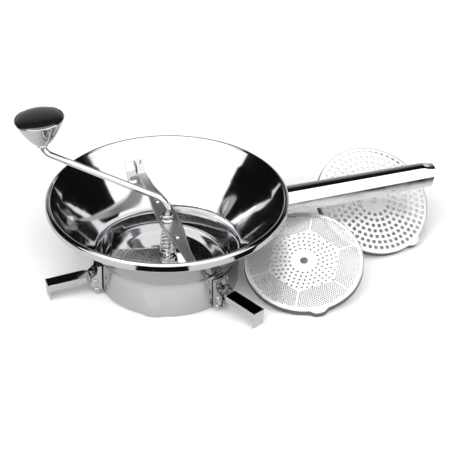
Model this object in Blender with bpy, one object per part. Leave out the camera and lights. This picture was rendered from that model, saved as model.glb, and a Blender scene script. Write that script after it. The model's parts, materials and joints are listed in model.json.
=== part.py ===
"""A rotary food mill in polished steel: bowl with handle and pot legs, spring-loaded crank with a milling
blade, locking crossbar, the perforated disc in its seat and two spare discs.  Metres, +Z up, the bowl's
axis is Z, its foot stands on z = 0 and the handle points along +X."""

import math

import bmesh
import bpy
import numpy as np
from mathutils import Matrix, Vector
from mathutils.geometry import tessellate_polygon

MM = 0.001
GAP = 0.3  # clearance between touching pieces, mm

# Bowl (mm)
FOOT_R = 69.75  # outside of the cylinder
WALL = 0.9
CONE_Z0, CONE_R0 = 40.0, 71.5  # a point on the outside of the cone
CONE_K = 0.854  # radius gained per mm of height
BEND_R = 14.0  # bend between cylinder and cone
TOE_R = 4.6  # rounded lower edge
LIP_R = 56.5  # inner edge of the turned-in lip
BEAD_R, BEAD_Z, BEAD_A = 115.75, 91.5, 4.25
CHANNEL_AT = (0.0, 120.0, 240.0)
NOSE_AT = (0.0,)
CHANNEL_D, CHANNEL_TOP = 2.6, 29.0

# Seat and discs (mm)
LEDGE_Z = 8.9
DISC_R, DISC_T, SKIRT_H = 59.5, 0.8, 8.0
NOSE_D, DISC_HOLE_R = 3.6, 4.0
DISC_Z = LEDGE_Z + GAP + SKIRT_H  # top of the seated disc

# Handle (mm)
HANDLE_END = 282.0
HANDLE_TOP = 81.0
HANDLE_T = 1.2

# Legs (mm, degrees)
LEG_AT = (58.5, 178.5, 298.5)
LEG_DROOP = 5.0
PIVOT_R, PIVOT_Z = 77.0, 16.0
STOP_R, STOP_Z = 75.6, 5.6
LEG_LEN, LEG_W, LEG_H, LEG_T = 46.0, 13.0, 8.0, 1.0

# Crossbar (mm)
BAR_Z = 70.0  # top of the strip
BAR_T = 1.5
BAR_END = 91.0
BAR_MID_W, BAR_END_W = 19.0, 9.0

# Crank (mm, degrees)
ROD_R = 3.3
CRANK_AT = 137.0
CRANK_Z0, CRANK_Z1 = 92.0, 112.0
CRANK_R = 137.0
KNOB_LEAN = 5.0
KNOB_R, KNOB_DEPTH, CAP_H = 25.0, 31.0, 5.5

# Blade (mm, degrees)
BLADE_R, BLADE_T = 60.0, 1.2
BLADE_SWEEP, BLADE_RISE = 205.0, 17.0
HUB_TOP = 27.0

STEEL = ("polished_steel", (0.78, 0.78, 0.79, 1.0), 1.0, 0.08)
BLACK = ("black_gloss_plastic", (0.01, 0.01, 0.011, 1.0), 0.0, 0.07)


def material(spec):
    name, colour, metallic, rough = spec
    mat = bpy.data.materials.get(name)
    if mat is None:
        mat = bpy.data.materials.new(name)
        mat.use_nodes = True
        shader = mat.node_tree.nodes["Principled BSDF"]
        shader.inputs["Base Color"].default_value = colour
        shader.inputs["Metallic"].default_value = metallic
        shader.inputs["Roughness"].default_value = rough
    return mat


def add(name, bm, spec=STEEL, place=None):
    """Turns a bmesh in millimetres into a named object in metres, outward facing, set at its place."""
    bmesh.ops.remove_doubles(bm, verts=bm.verts, dist=1e-5)
    bmesh.ops.recalc_face_normals(bm, faces=bm.faces)
    if bm.calc_volume(signed=True) < 0:
        bmesh.ops.reverse_faces(bm, faces=bm.faces)
    bm.transform(Matrix.Scale(MM, 4))
    mesh = bpy.data.meshes.new(name)
    bm.to_mesh(mesh)
    bm.free()
    mesh.shade_smooth()
    mesh.set_sharp_from_angle(angle=math.radians(35))
    mesh.materials.append(material(spec))
    obj = bpy.data.objects.new(name, mesh)
    bpy.context.scene.collection.objects.link(obj)
    if place is not None:
        obj.matrix_world = Matrix.Translation(place.translation * MM) @ place.to_3x3().to_4x4()
    return obj


def combine(obj, bm, operation, place=None):
    """Joins a shape to an object, or cuts it away, with a hidden helper and a Boolean."""
    helper = add(f"{obj.name}_{operation.lower()}_{len(obj.modifiers)}", bm, place=place)
    helper.hide_render = True
    helper.display_type = "WIRE"
    boolean = obj.modifiers.new(operation.title(), "BOOLEAN")
    boolean.operation, boolean.solver, boolean.object = operation, "EXACT", helper
    return obj


def skin(rings, closed_path=False, caps=True):
    """Joins equal rings of points with quads, and closes the two ends."""
    bm = bmesh.new()
    rows = [[bm.verts.new(p) for p in ring] for ring in rings]
    count = len(rows[0])
    pairs = list(zip(rows, rows[1:]))
    if closed_path:
        pairs.append((rows[-1], rows[0]))
    for a, b in pairs:
        for i in range(count):
            j = (i + 1) % count
            bm.faces.new((a[i], a[j], b[j], b[i]))
    if caps and not closed_path:
        bm.faces.new(rows[0])
        bm.faces.new(list(reversed(rows[-1])))
    return bm


def prism(outline, lo, hi, holes=()):
    """A flat plate from an outline and its holes in xy, between two heights."""
    loops = [list(outline), *[list(h) for h in holes]]
    flat = [Vector((x, y, 0.0)) for loop in loops for x, y in loop]
    tris = tessellate_polygon([[Vector((x, y, 0.0)) for x, y in loop] for loop in loops])
    bm = bmesh.new()
    low = [bm.verts.new((p.x, p.y, lo)) for p in flat]
    top = [bm.verts.new((p.x, p.y, hi)) for p in flat]
    for a, b, c in tris:
        bm.faces.new((low[a], low[b], low[c]))
        bm.faces.new((top[c], top[b], top[a]))
    start = 0
    for loop in loops:
        n = len(loop)
        for i in range(n):
            a, b = start + i, start + (i + 1) % n
            bm.faces.new((low[a], low[b], top[b], top[a]))
        start += n
    return bm


def circle(radius, n, cx=0.0, cy=0.0, turn=0.0):
    return [
        (cx + radius * math.cos(2 * math.pi * i / n + turn),
         cy + radius * math.sin(2 * math.pi * i / n + turn))
        for i in range(n)
    ]


def revolve(profile, n, matrix=None):
    """A closed (r, z) profile turned about Z."""
    rings = []
    for i in range(n):
        a = 2 * math.pi * i / n
        rings.append([(r * math.cos(a), r * math.sin(a), z) for r, z in profile])
    bm = skin(rings, closed_path=True)
    if matrix is not None:
        bm.transform(matrix)
    return bm


def solid_of_revolution(profile, n, matrix=None):
    """A profile whose two ends lie on the axis."""
    rings = [[(r * math.cos(2 * math.pi * i / n), r * math.sin(2 * math.pi * i / n), z) for i in range(n)]
             for r, z in profile]
    bm = skin(rings)
    if matrix is not None:
        bm.transform(matrix)
    return bm


def tube(path, radius, sides):
    """A round rod along a path of points."""
    pts = [Vector(p) for p in path]
    tangent = (pts[1] - pts[0]).normalized()
    side = tangent.orthogonal().normalized()
    rings = []
    for i, p in enumerate(pts):
        ahead = pts[min(i + 1, len(pts) - 1)] - pts[max(i - 1, 0)]
        new = ahead.normalized()
        side = (side - new * side.dot(new)).normalized()
        up = new.cross(side)
        around = [2 * math.pi * k / sides for k in range(sides)]
        rings.append([p + radius * (math.cos(a) * side + math.sin(a) * up) for a in around])
    return skin(rings)


def corner(a, b, c, radius, steps):
    """Points of an arc that rounds the corner b between a and c."""
    a, b, c = Vector(a), Vector(b), Vector(c)
    u, v = (a - b).normalized(), (c - b).normalized()
    half = u.angle(v) / 2
    reach = radius / math.tan(half)
    centre = b + (u + v).normalized() * (radius / math.sin(half))
    start, end = b + u * reach, b + v * reach
    p, q = start - centre, end - centre
    total = p.angle(q)
    axis = p.cross(q).normalized()
    return [centre + Matrix.Rotation(total * k / steps, 3, axis) @ p for k in range(steps + 1)]


def smooth(t):
    t = max(0.0, min(1.0, t))
    return t * t * (3 - 2 * t)


def cone_out(z):
    return CONE_R0 + (z - CONE_Z0) * CONE_K


def cone_in(z):
    return cone_out(z) - WALL * math.hypot(1, CONE_K)


def turned(degrees, about=(0, 0, 0), axis="Z"):
    p = Vector(about)
    return Matrix.Translation(p) @ Matrix.Rotation(math.radians(degrees), 4, axis) @ Matrix.Translation(-p)


def nose_weight(angle, centres, inner, outer):
    off = min(abs((math.degrees(angle) - c + 180) % 360 - 180) for c in centres)
    return smooth((outer - off) / (outer - inner))


def fine_angles(centres, step, offsets):
    """Angles round a circle, coarse in general and close together near the given centres."""
    keep = []
    reach = max(offsets) + step * 0.4
    for k in range(int(360 / step)):
        a = k * step
        if all(abs((a - c + 180) % 360 - 180) > reach for c in centres):
            keep.append(a)
    for c in centres:
        keep += [(c + s * o) % 360 for o in offsets for s in (1, -1)] + [c % 360]
    return [math.radians(a) for a in sorted(set(keep))]


def offset_path(points, distance):
    """Shifts an open path to its left by a distance."""
    out = []
    for i, p in enumerate(points):
        t = np.subtract(points[min(i + 1, len(points) - 1)], points[max(i - 1, 0)])
        t = t / np.hypot(*t)
        out.append((p[0] - t[1] * distance, p[1] + t[0] * distance))
    return out


# ---------------------------------------------------------------- bowl
def bowl_path():
    """Outside of the sheet, from the lip round the toe and up to the bead."""
    pts = [(LIP_R, 0.0), (FOOT_R - TOE_R, 0.0)]
    for k in range(1, 4):
        a = math.radians(90 * k / 3)
        pts.append((FOOT_R - TOE_R + TOE_R * math.sin(a), TOE_R - TOE_R * math.cos(a)))
    pts += [(FOOT_R, z) for z in (15.0, 20.5, 24.0, CHANNEL_TOP)]
    meet = (FOOT_R, CONE_Z0 - (CONE_R0 - FOOT_R) / CONE_K)
    arc = corner((FOOT_R, 0, 20), (FOOT_R, 0, meet[1]), (cone_out(80), 0, 80), BEND_R, 3)
    pts += [(p.x, p.z) for p in arc]
    pts += [(cone_out(z), z) for z in (87.2,)]
    return pts


def make_bowl():
    outer = bowl_path()
    inner = offset_path(outer, WALL)
    bead = []
    for k in range(10):
        a = math.radians(-122 + (180 + 122 + 12) * k / 9)
        bead.append((BEAD_R + BEAD_A * math.cos(a), BEAD_Z + BEAD_A * math.sin(a)))
    profile = outer + bead + list(reversed(inner))
    angles = fine_angles(CHANNEL_AT, 6.0, (4.6, 6.6, 8.5))
    rings = []
    for a in angles:
        ring = []
        weight = nose_weight(a, CHANNEL_AT, 5.0, 8.4)
        for r, z in profile:
            up = smooth((CHANNEL_TOP - z) / 14.0)
            push = CHANNEL_D * weight * up * smooth((r - 62.5) / 5.0) if z < 60 else 0.0
            ring.append(((r + push) * math.cos(a), (r + push) * math.sin(a), z))
        rings.append(ring)
    add("bowl", skin(rings, closed_path=True))


def make_seat_ring():
    outside = FOOT_R - WALL - GAP
    profile = [(57.6, WALL + GAP), (58.6, WALL + GAP), (58.6, LEDGE_Z - 1.0), (outside, LEDGE_Z - 1.0),
               (outside, LEDGE_Z), (57.6, LEDGE_Z)]
    add("seat_ring", revolve(profile, 36))


# ---------------------------------------------------------------- discs
def disc_mesh(holes, hub=DISC_HOLE_R):
    """A perforated plate with a rounded edge, a skirt and one nose; the plate's top is z = 0."""
    angles = fine_angles(NOSE_AT, 10.0, (3.2, 6.7, 10.6))

    def ring(r, z, nose):
        out = []
        for a in angles:
            rr = r + nose * nose_weight(a, NOSE_AT, 2.5, 10.5)
            out.append((rr * math.cos(a), rr * math.sin(a), z))
        return out

    e = 1.6
    top = ring(DISC_R - e, 0.0, NOSE_D)
    rings = [
        top,
        ring(DISC_R - 0.45, -0.45, NOSE_D),
        ring(DISC_R, -e, NOSE_D),
        ring(DISC_R, -SKIRT_H, NOSE_D),
        ring(DISC_R - DISC_T, -SKIRT_H, NOSE_D),
        ring(DISC_R - DISC_T, -e, NOSE_D),
        ring(DISC_R - e, -DISC_T, NOSE_D),
    ]
    bm = skin(rings, caps=False)
    loops = [[(p[0], p[1]) for p in top], circle(hub, 16), *holes]
    tris = tessellate_polygon([[Vector((x, y, 0.0)) for x, y in loop] for loop in loops])
    flat = [p for loop in loops for p in loop]
    low = [bm.verts.new((x, y, -DISC_T)) for x, y in flat]
    high = [bm.verts.new((x, y, 0.0)) for x, y in flat]
    for a, b, c in tris:
        bm.faces.new((low[a], low[b], low[c]))
        bm.faces.new((high[c], high[b], high[a]))
    start = len(loops[0])
    for loop in loops[1:]:
        n = len(loop)
        for i in range(n):
            a, b = start + i, start + (i + 1) % n
            bm.faces.new((low[a], low[b], high[b], high[a]))
        start += n
    return bm


def ring_holes(spec, sides):
    """Holes in rings: (ring radius, how many, hole radius, first angle)."""
    out = []
    for ring_r, count, hole_r, first in spec:
        for k in range(count):
            a = math.radians(first) + 2 * math.pi * k / count
            x, y = ring_r * math.cos(a), ring_r * math.sin(a)
            out.append(circle(hole_r, sides, x, y, a + math.pi / sides))
    return out


COARSE = ((20.0, 8, 2.9, 0.0), (33.0, 12, 2.9, 15.0), (47.0, 18, 2.9, 0.0))
MEDIUM = ((20.0, 8, 1.9, 0.0), (33.0, 12, 1.9, 10.0), (47.0, 18, 1.9, 0.0))
FINE = ((18.0, 8, 1.3, 0.0), (32.0, 12, 1.3, 10.0), (47.0, 18, 1.3, 5.0))


def disc_pose(centre, tilt, facing, spin):
    """Places a spare disc: the middle of its plate, its tilt, the way it faces, and its turn, in degrees."""
    t, f = math.radians(tilt), math.radians(facing)
    z = Vector((math.sin(t) * math.cos(f), math.sin(t) * math.sin(f), math.cos(t)))
    x = Vector((0, 0, 1)).cross(z).normalized()
    y = z.cross(x)
    rot = Matrix((x, y, z)).transposed().to_4x4()
    return Matrix.Translation(Vector(centre)) @ rot @ Matrix.Rotation(math.radians(spin), 4, "Z")


SPARE_FINE = ((124.0, -55.2, 30.4), 21.5, -109.6, -75.0)
SPARE_COARSE = ((222.6, 12.9, 41.1), 35.0, -78.8, -66.0)


def make_discs():
    seated = Matrix.Translation((0, 0, DISC_Z))
    add("disc_medium", disc_mesh(ring_holes(MEDIUM, 4)), place=seated)
    add("disc_fine_spare", disc_mesh(ring_holes(FINE, 4)), place=disc_pose(*SPARE_FINE))
    add("disc_coarse_spare", disc_mesh(ring_holes(COARSE, 4)), place=disc_pose(*SPARE_COARSE))


# ---------------------------------------------------------------- handle
def handle_section(f):
    """Outside of the pressed channel at a share f of its length: (y, z) from one lower edge to the other."""
    h = 22.0 - 2.5 * f
    w = 12.6 - 1.8 * f
    c = 7.6 - 1.2 * f
    half = [(c * 0.55, 0.0), (c, -1.3), (w - 0.7, -h * 0.5), (w, -h)]
    return [(-y, z) for y, z in reversed(half)] + half


def make_handle():
    stations = [0.0, 0.25, 0.5, 0.75, 0.93, 1.0]
    rings = []
    for f in stations:
        out = handle_section(f)
        inn = offset_path(out, -HANDLE_T)
        inn[0] = (inn[0][0], out[0][1])
        inn[-1] = (inn[-1][0], out[-1][1])
        ring = []
        for y, z in out + list(reversed(inn)):
            zz = HANDLE_TOP + z
            root = math.sqrt(max(0.0, (cone_out(zz) + 0.45) ** 2 - y * y))
            end = HANDLE_END + 0.28 * z
            drop = 2.2 * smooth((f - 0.93) / 0.07) * smooth((z + 6.0) / 6.0)
            ring.append((root + (end - root) * f, y, zz - drop))
        rings.append(ring)
    obj = add("handle", skin(rings))
    hole = solid_of_revolution([(0.0, -6), (3.2, -6), (3.2, 6), (0.0, 6)], 16)
    combine(obj, hole, "DIFFERENCE", Matrix.Translation((HANDLE_END - 8.0, 0, HANDLE_TOP - 1)))


def make_handle_brace():
    """A saddle inside the handle's root, spot-welded to the cone."""
    rings = []
    for f in (0.0, 1.0):
        ring = []
        for y, z in ((-8.6, -20.5), (8.6, -20.5), (8.6, -19.3), (-8.6, -19.3)):
            zz = HANDLE_TOP + z
            root = math.sqrt((cone_out(zz + 1.2) + 0.45) ** 2 - y * y)
            ring.append((root + 34.0 * f, y, zz))
        rings.append(ring)
    add("handle_brace", skin(rings))


# ---------------------------------------------------------------- legs
EAR_Y, EAR_T = 7.4, 1.2
TO_XZ = Matrix(((1, 0, 0, 0), (0, 0, 1, 0), (0, 1, 0, 0), (0, 0, 0, 1)))  # sends a plate's xy to xz
TO_YZ = Matrix(((0, 0, 1, 0), (1, 0, 0, 0), (0, 1, 0, 0), (0, 0, 0, 1)))  # sends a plate's xy to yz


def upright(outline, lo, hi, holes=(), turn=TO_XZ):
    bm = prism(outline, lo, hi, holes)
    bm.transform(turn)
    return bm


def make_bracket(name, place):
    """A pressed U bracket on the cylinder, drawn on +X: a back plate and two ears."""
    r0, t = FOOT_R + 0.45, 1.2
    wide = EAR_Y + EAR_T
    plate = [(r0, -wide), (r0 + t, -wide), (r0 + t, wide), (r0, wide)]
    back = add(name, prism(plate, 2.4, 33.0), place=place)
    side = [(r0 + 0.4, 32.6), (r0 + 3.6, 32.6), (r0 + 4.4, 25.0), (PIVOT_R + 4.0, 19.4),
            (PIVOT_R + 4.0, 13.0), (STOP_R + 3.3, 7.4), (STOP_R + 2.5, 3.2), (STOP_R, 2.1),
            (STOP_R - 2.5, 3.2), (r0 + 0.4, 7.4)]
    eyes = [circle(1.9, 10, PIVOT_R, PIVOT_Z), circle(1.9, 10, STOP_R, STOP_Z)]
    for y in (EAR_Y, -wide):
        combine(back, upright(side, y + 0.1, y + EAR_T - 0.1, eyes), "UNION", place)


def pin_mesh(head):
    """A cross pin along Y with two round heads."""
    half = EAR_Y + EAR_T + GAP
    side = [(head, 0.0), (head, 0.7), (head * 0.7, 1.4), (0.0, 1.5)]
    profile = [(r, half + z) for r, z in reversed(side)] + [(1.5, half), (1.5, -half)]
    profile += [(r, -half - z) for r, z in side]
    bm = solid_of_revolution(list(reversed(profile)), 10)
    bm.transform(Matrix.Rotation(math.pi / 2, 4, "X"))
    return bm


def make_leg(name, place):
    """A pressed leg drawn level on +X, its pivot at the origin: an inverted channel with two lugs that end
    beside the stop pin, and a turned-down, notched tip."""
    w, t, top = LEG_W / 2, LEG_T, 6.4
    root = 4.6
    rings = []
    for x, k in ((root, 0.78), (root + 5.0, 1.0), (LEG_LEN, 1.0)):
        y = w * k
        outside = [(-y, top - LEG_H), (-y, top - 0.8), (-y + 0.8, top),
                   (y - 0.8, top), (y, top - 0.8), (y, top - LEG_H)]
        inside = [(y - t, top - LEG_H), (y - t, top - t), (-y + t, top - t), (-y + t, top - LEG_H)]
        rings.append([(x, p, z) for p, z in outside + inside])
    leg = add(name, skin(rings), place=place)
    lug = [(root + 0.6, top - LEG_H + 1.3), (root + 0.6, top - 2.0), (1.0, 3.6), (-3.2, 1.6), (-3.2, -1.8),
           (1.9, -5.0), (1.9, -11.6), (4.2, -11.6), (5.0, -4.0)]
    for y in (w * 0.78 - t + 0.15, -w * 0.78 - 0.15):
        combine(leg, upright(lug, y, y + t, [circle(1.9, 10)]), "UNION", place)
    teeth = [(-w + LEG_W * k / 10, -10.4 + (1.2 if k % 2 else 0.0)) for k in range(11)]
    tip = upright([(-w - 0.2, top - 0.3), *[(y * 1.02, z) for y, z in teeth], (w + 0.2, top - 0.3)],
                  LEG_LEN - 0.4, LEG_LEN + 0.8, turn=TO_YZ)
    combine(leg, tip, "UNION", place)


def make_legs():
    for i, at in enumerate(LEG_AT, 1):
        about = turned(at)
        pivot = about @ Matrix.Translation((PIVOT_R, 0, PIVOT_Z))
        make_bracket(f"leg_bracket_{i}", about)
        add(f"leg_pivot_pin_{i}", pin_mesh(3.0), place=pivot)
        add(f"leg_stop_pin_{i}", pin_mesh(3.3), place=about @ Matrix.Translation((STOP_R, 0, STOP_Z)))
        make_leg(f"leg_{i}", pivot @ Matrix.Rotation(math.radians(LEG_DROOP), 4, "Y"))


# ---------------------------------------------------------------- crossbar
TAB = (4.0, 12.0, 6.5)  # the end tab: where it starts and ends across the bar, and its length
BUSH_R = 5.7
RIVET_Y = 34.0


def bar_half_width(y):
    return BAR_END_W / 2 + (BAR_MID_W - BAR_END_W) / 2 * (1 - smooth((abs(y) - 8) / 62))


def make_crossbar():
    ys = [0, 12, 22, 32, 44, 58, 74, 86]
    one = [(-bar_half_width(y), -y) for y in ys] + [(-BAR_END_W / 2, -BAR_END)]
    one += [(TAB[1], -BAR_END), (TAB[1], -BAR_END + TAB[2]), (TAB[0] + 0.5, -BAR_END + TAB[2])]
    one += [(bar_half_width(y), -y) for y in reversed(ys[:-1])]
    half = one[:-1]
    outline = half + [(-x, -y) for x, y in half]
    rivets = [circle(1.9, 10, 0, s * RIVET_Y) for s in (1, -1)]
    strip = prism(outline, -BAR_T, 0.0, [circle(BUSH_R + GAP, 20), *rivets])
    place = Matrix.Translation((0, 0, BAR_Z))
    bar = add("crossbar", strip, place=place)
    for s in (1, -1):
        rings = []
        for y in sorted([v for v in ys if v < 80] + [-v for v in ys if 0 < v < 80]):
            w, f = bar_half_width(y), 0.6 + 3.4 * (1 - smooth((abs(y) - 30) / 44))
            inner, outer = s * (w - 1.1), s * (w + 0.15)
            rings.append([(inner, y, -0.7), (outer, y, -0.7), (outer, y, f), (inner, y, f)])
        combine(bar, skin(rings), "UNION", place)
    fork = [(-4.3, -0.6), (4.3, -0.6), (3.2, 8.5), (4.6, 15.5), (2.7, 16.3), (1.1, 10.5),
            (-1.1, 10.5), (-2.7, 16.3), (-4.6, 15.5), (-3.2, 8.5)]
    tongue = upright(fork, -0.6, 0.6)
    lean = Matrix.Translation((0, BAR_END - 1.2, -0.9)) @ Matrix.Rotation(math.radians(-38), 4, "X")
    tongue.transform(lean)
    combine(bar, tongue, "UNION", place)

    bush = [(3.7, -6.5), (BUSH_R, -6.5), (BUSH_R, GAP), (7.9, GAP),
            (7.9, 1.5), (6.4, 2.1), (5.6, 6.5), (3.7, 6.5)]
    add("crossbar_bush", revolve(bush, 18), place=place)
    low = -BAR_T - GAP
    doubler = prism([(-6.8, -41), (6.8, -41), (8.0, 0), (6.8, 41), (-6.8, 41), (-8.0, 0)], low - 1.2, low,
                    [circle(BUSH_R + GAP, 20), *rivets])
    add("crossbar_doubler", doubler, place=place)
    head = [(0.0, 1.9), (2.0, 1.5), (3.3, GAP), (1.5, GAP), (1.5, low - 1.2 - GAP), (3.1, low - 1.2 - GAP),
            (2.0, low - 2.6), (0.0, low - 2.9)]
    for name, s in (("crossbar_rivet_front", -1), ("crossbar_rivet_rear", 1)):
        place = Matrix.Translation((0, s * RIVET_Y, BAR_Z))
        add(name, solid_of_revolution(list(reversed(head)), 12), place=place)


def make_catches():
    """A hook on the cone at each end of the bar, over the tab and closed on its far side."""
    x0, x1 = -14.6, -5.6
    roof = BAR_Z + 0.6

    def wall(z, depth):
        return cone_in(z) - 1.5 - depth

    side = [(84.0, roof), (wall(roof, 1.5), roof), (wall(62, 1.5), 62), (wall(62, 0), 62), (wall(79, 0), 79),
            (wall(79, 1.5), 79), (wall(roof + 1.3, 1.5), roof + 1.3), (84.0, roof + 1.3)]
    foot = BAR_Z - 3.4
    cheek = [(84.6, foot), (wall(foot, 0.4), foot), (wall(roof, 0.4), roof + 0.9), (84.6, roof + 0.9)]
    for name, turn in (("crossbar_catch_rear", 0), ("crossbar_catch_front", 180)):
        place = turned(turn)
        catch = add(name, upright(side, x0, x1, turn=TO_YZ), place=place)
        combine(catch, upright(cheek, x0 + 0.1, x0 + 1.3, turn=TO_YZ), "UNION", place)


# ---------------------------------------------------------------- crank
def crank_frame():
    """The outer bend of the crank and the knob's leaning axis there."""
    lean = Matrix.Rotation(math.radians(KNOB_LEAN), 4, "Y")
    return turned(CRANK_AT) @ Matrix.Translation((CRANK_R, 0, CRANK_Z1)) @ lean


STEM = 29.0


def make_crank():
    knob_axis = Matrix.Rotation(math.radians(KNOB_LEAN), 4, "Y") @ Vector((0, 0, STEM))
    low, bend1, bend2 = Vector((0, 0, 13.0)), Vector((0, 0, CRANK_Z0)), Vector((CRANK_R, 0, CRANK_Z1))
    stem_end = bend2 + knob_axis
    path = [low, Vector((0, 0, 45)), *corner(low, bend1, bend2, 13.0, 6),
            *corner(bend1, bend2, stem_end, 8.0, 6), stem_end]
    add("crank_rod", tube(path, ROD_R, 12), place=turned(CRANK_AT))

    frame = crank_frame()
    ferrule = [(3.65, 6.6), (5.0, 6.6), (5.6, 8.0), (5.0, 9.6), (3.65, 9.6)]
    add("knob_ferrule", revolve(ferrule, 16), place=frame)
    base, top = 9.9, 9.9 + KNOB_DEPTH - 4.0
    outer = [(4.0, base), (6.2, base + 0.2)]
    for k in range(1, 6):
        s = k / 5
        outer.append((6.2 + (KNOB_R - 6.2) * s ** 0.86, base + 0.2 + (top - base - 0.2) * s ** 1.25))
    inner = offset_path(outer, 1.0)
    inner[0], inner[-1] = (4.0, base + 1.0), (KNOB_R - 1.1, top)
    add("knob_shell", revolve(outer + list(reversed(inner)), 32), place=frame)
    cap = [(0.0, top - 5.0), (3.8, top - 5.0), (3.8, base + 4.5), (6.0, base + 4.5), (6.0, top - 1.6),
           (KNOB_R - 3.2, top - 1.6), (KNOB_R - 1.8, top + GAP), (KNOB_R + 0.2, top + GAP),
           (KNOB_R + 0.3, top + 1.2)]
    for k in range(1, 6):
        a = math.radians(90 * k / 5)
        cap.append(((KNOB_R + 0.1) * math.cos(a) if k < 5 else 0.0, top + 1.2 + (CAP_H - 1.2) * math.sin(a)))
    add("knob_cap", solid_of_revolution(cap, 32), BLACK, frame)


def make_shaft_parts():
    washer = [(3.7, 0.0), (7.4, 0.0), (7.4, 0.9), (3.7, 0.9)]
    add("spring_washer", revolve(washer, 16), place=Matrix.Translation((0, 0, BAR_Z - 6.5 - GAP - 0.9)))
    hub = [(3.7, 18.2), (9.4, 18.2), (9.4, 20.0), (8.0, 21.2),
           (8.0, HUB_TOP - 0.6), (7.4, HUB_TOP), (3.7, HUB_TOP)]
    add("blade_hub", revolve(hub, 20), place=Matrix.Identity(4))
    thrust = [(3.7, 0.0), (8.8, 0.0), (8.8, 0.8), (3.7, 0.8)]
    add("thrust_washer", revolve(thrust, 16), place=Matrix.Translation((0, 0, HUB_TOP + GAP)))
    wire, turns, per = 0.85, 6.5, 12
    low = HUB_TOP + GAP + 0.8 + GAP + wire
    top = BAR_Z - 6.5 - GAP - 0.9 - GAP - wire
    path = []
    count = int(turns * per)
    for k in range(count + 1):
        s = k / count
        ends = smooth(s / 0.1) * 0.08 + (s - 0.0) * 0.84 + smooth((s - 0.9) / 0.1) * 0.08
        a, r = 2 * math.pi * turns * s, 8.0 - 2.6 * s
        path.append((r * math.cos(a), r * math.sin(a), low + (top - low) * ends))
    add("shaft_spring", tube(path, wire, 5), place=Matrix.Identity(4))


def make_blade():
    """A helical wing that starts close over the disc and rises as it goes round."""
    rings = []
    count = 20
    for k in range(count + 1):
        s = k / count
        a = math.radians(-40 + BLADE_SWEEP * s)
        r1 = BLADE_R - 5.0 * s * s
        z = DISC_Z + GAP + 0.3 + BLADE_RISE * s ** 1.1
        ring = []
        for r, dz in ((9.8, 1.0), (34.0, 0.4), (r1, 0.0)):
            ring.append((r * math.cos(a), r * math.sin(a), z + dz))
        low = list(reversed([(x, y, h) for x, y, h in ring]))
        high = [(x, y, h + BLADE_T) for x, y, h in ring]
        rings.append(high + low)
    add("mill_blade", skin(rings), place=Matrix.Identity(4))


def clear():
    for obj in list(bpy.data.objects):
        bpy.data.objects.remove(obj, do_unlink=True)


clear()
make_bowl()
make_seat_ring()
make_discs()
make_handle()
make_handle_brace()
make_legs()
make_crossbar()
make_catches()
make_crank()
make_shaft_parts()
make_blade()
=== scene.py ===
"""The finished looks of a rotary food mill in mirror-polished steel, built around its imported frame.
Shapes are worked out in millimetres and turned into metres when a piece is made."""

import json
import math

import bmesh
import bpy
from mathutils import Matrix, Vector
from mathutils.geometry import delaunay_2d_cdt, tessellate_polygon


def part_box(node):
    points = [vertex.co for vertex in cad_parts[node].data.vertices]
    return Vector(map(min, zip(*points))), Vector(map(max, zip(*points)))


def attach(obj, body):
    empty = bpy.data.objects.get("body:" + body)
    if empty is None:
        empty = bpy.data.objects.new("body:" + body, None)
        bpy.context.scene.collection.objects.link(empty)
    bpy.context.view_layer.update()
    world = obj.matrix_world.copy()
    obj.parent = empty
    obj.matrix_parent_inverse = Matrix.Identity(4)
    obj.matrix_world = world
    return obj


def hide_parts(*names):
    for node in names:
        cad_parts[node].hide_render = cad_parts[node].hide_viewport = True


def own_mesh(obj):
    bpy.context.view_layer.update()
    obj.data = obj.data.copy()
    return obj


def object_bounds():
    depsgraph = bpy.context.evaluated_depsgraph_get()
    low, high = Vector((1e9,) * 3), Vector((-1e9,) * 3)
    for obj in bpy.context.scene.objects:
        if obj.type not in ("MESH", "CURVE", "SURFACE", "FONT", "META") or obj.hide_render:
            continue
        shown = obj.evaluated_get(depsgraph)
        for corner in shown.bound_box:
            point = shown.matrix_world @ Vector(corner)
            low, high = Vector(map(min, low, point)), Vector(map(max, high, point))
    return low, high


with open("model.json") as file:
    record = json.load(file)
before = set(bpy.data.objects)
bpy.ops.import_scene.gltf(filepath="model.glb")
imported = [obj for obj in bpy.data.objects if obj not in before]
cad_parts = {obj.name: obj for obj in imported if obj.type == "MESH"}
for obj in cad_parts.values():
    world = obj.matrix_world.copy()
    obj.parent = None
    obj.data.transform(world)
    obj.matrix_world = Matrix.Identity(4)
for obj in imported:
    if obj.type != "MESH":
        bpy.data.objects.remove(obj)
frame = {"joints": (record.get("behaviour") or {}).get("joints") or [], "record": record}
cad_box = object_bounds()

MM = 0.001
GAP = 0.3  # clearance between touching pieces
WELD_GAP = 0.45  # clearance between the bowl and the sheets welded to it
PIN_HOLE_R = 1.9  # for the legs' pins and the crossbar's rivets


def corners(node):
    """Lowest and highest corner of a node, in millimetres."""
    lo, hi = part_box(node)
    return lo / MM, hi / MM


JOINTS = {j["name"]: j for j in frame["joints"]}
BODY_OF = {n: b for b, ns in frame["record"]["behaviour"]["bodies"].items() for n in ns}

# Bowl
BOWL_HI = corners("bowl")[1]
BEAD_A = 4.25
BEAD_R = BOWL_HI.x - BEAD_A
BEAD_Z = BOWL_HI.z - BEAD_A
FOOT_R, WALL, LIP_R = 69.75, 0.9, 56.5
CONE_Z0, CONE_R0, CONE_K = 40.0, 71.5, 0.854
BEND_R, TOE_R = 14.0, 4.6
CHANNEL_AT = (0.0, 120.0, 240.0)
NOSE_AT = (0.0,)
CHANNEL_D, CHANNEL_TOP = 2.6, 32.0

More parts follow.
